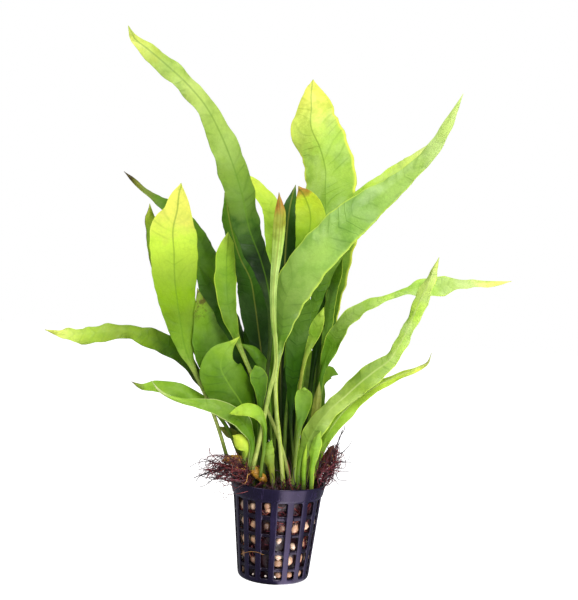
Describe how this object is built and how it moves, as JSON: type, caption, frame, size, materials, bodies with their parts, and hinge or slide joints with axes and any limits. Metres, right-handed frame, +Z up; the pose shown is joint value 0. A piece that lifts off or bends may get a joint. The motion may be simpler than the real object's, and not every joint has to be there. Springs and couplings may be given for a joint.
{
  "type": "potted java fern",
  "caption": "Java fern in a small black net pot: gravel and matted roots, creeping stems, long upright and arching leaves in green, lime and yellow.",
  "frame": {"origin": "centre of the flat underside of the pot", "axes": "+Z up, along the pot's axis; -Y is the front, the side that the picture shows; +X is to the right"},
  "size_m": [0.2461, 0.1353, 0.2778],
  "materials": {
    "pot_plastic": "gloss",
    "gravel": "satin",
    "roots": "satin",
    "rhizome": "satin",
    "leaf_green": "satin",
    "leaf_lime": "satin",
    "leaf_yellow": "satin",
    "leaf_dark": "satin",
    "leaf_withered": "matte"
  },
  "bodies": {
    "root": {"gravel_fill": "gravel", "leaf_arched_strip": "leaf_green", "leaf_back_arching": "leaf_lime", "leaf_back_crown": "leaf_dark", "leaf_back_crown_left": "leaf_dark", "leaf_back_dark": "leaf_dark", "leaf_back_drooping": "leaf_green", "leaf_back_left": "leaf_dark", "leaf_back_low_left": "leaf_green", "leaf_back_right": "leaf_green", "leaf_back_tall_left": "leaf_green", "leaf_back_tall_right": "leaf_green", "leaf_back_upright": "leaf_green", "leaf_big_right": "leaf_green", "leaf_bright_upright": "leaf_lime", "leaf_broad_left": "leaf_lime", "leaf_broad_lower": "leaf_green", "leaf_broad_yellow": "leaf_yellow", "leaf_brown_tip": "leaf_withered", "leaf_curled_small": "leaf_lime", "leaf_dark_center": "leaf_dark", "leaf_dark_left": "leaf_dark", "leaf_dark_middle": "leaf_dark", "leaf_dark_strip": "leaf_dark", "leaf_far_left": "leaf_green", "leaf_left_long": "leaf_green", "leaf_left_small_front": "leaf_lime", "leaf_left_small_upper": "leaf_lime", "leaf_lime_arching": "leaf_lime", "leaf_low_center": "leaf_green", "leaf_mid_green": "leaf_green", "leaf_narrow_lime": "leaf_lime", "leaf_olive_narrow": "leaf_green", "leaf_right_far": "leaf_lime", "leaf_right_low": "leaf_lime", "leaf_right_tall": "leaf_lime", "leaf_small_bright": "leaf_lime", "leaf_small_round": "leaf_green", "leaf_spoon": "leaf_green", "leaf_spotted": "leaf_green", "leaf_star": "leaf_green", "leaf_strip_right": "leaf_green", "leaf_stub_olive": "leaf_green", "leaf_tall_left": "leaf_green", "leaf_thin_tip": "leaf_dark", "leaf_wrinkled_small": "leaf_lime", "leaf_yellow_behind": "leaf_yellow", "leaf_yellow_bud": "leaf_yellow", "leaf_yellow_small": "leaf_yellow", "net_pot": "pot_plastic", "rhizome_left": "rhizome", "rhizome_right": "rhizome", "root_mass": "roots", "root_tuft_left": "roots", "root_tuft_right": "roots"}
  },
  "joints": []
}
